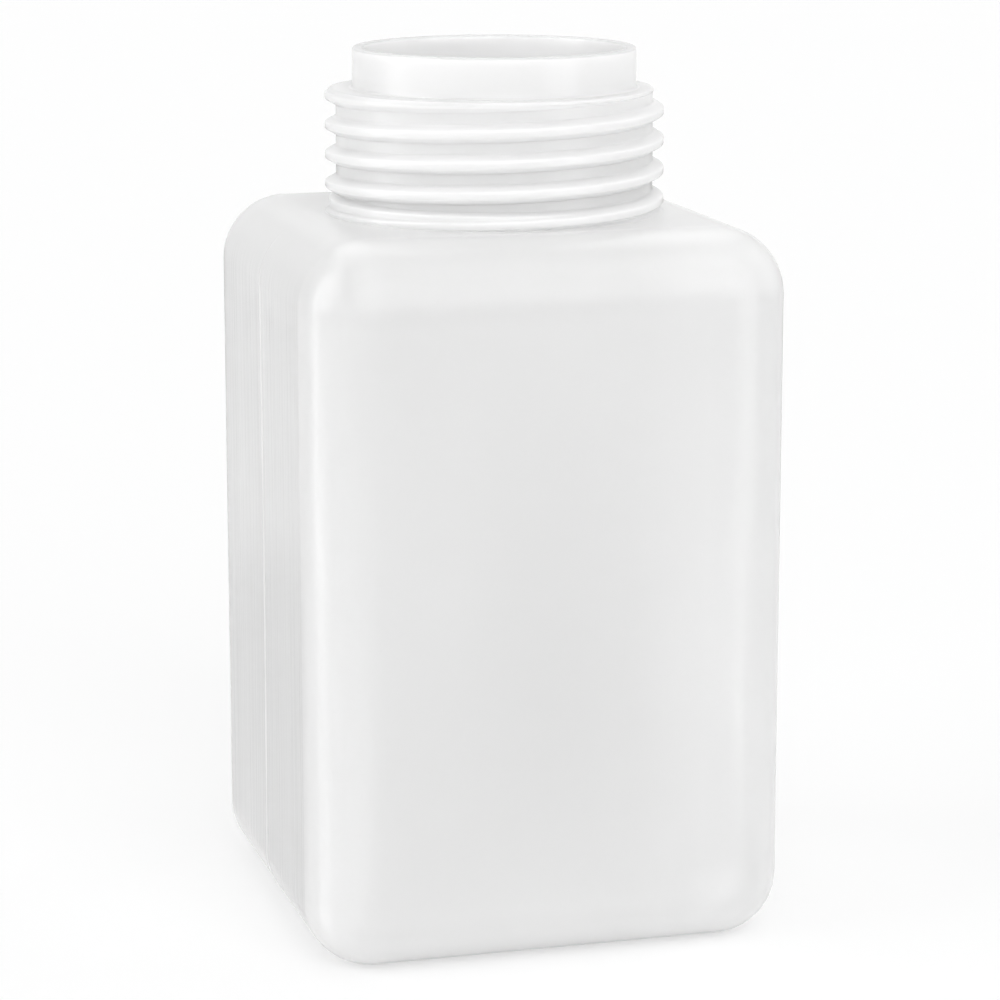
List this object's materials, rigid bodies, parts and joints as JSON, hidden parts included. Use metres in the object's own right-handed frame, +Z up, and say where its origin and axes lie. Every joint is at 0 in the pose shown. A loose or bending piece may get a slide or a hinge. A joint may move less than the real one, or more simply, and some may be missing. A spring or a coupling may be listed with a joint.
{
  "type": "square wide-mouth media bottle",
  "caption": "Tall square blow-moulded laboratory bottle with rolled edges, flat shoulder and wide right-hand threaded neck, shown without its cap.",
  "frame": {"origin": "middle of the base, on the surface the bottle stands on", "axes": "+Z up along the neck; the mould's seam runs up the -X and +X sides"},
  "size_m": [0.0954, 0.095, 0.173],
  "materials": {
    "natural_polyethylene": "satin, milky and slightly translucent"
  },
  "bodies": {
    "root": {"bottle": "natural_polyethylene"}
  },
  "joints": []
}
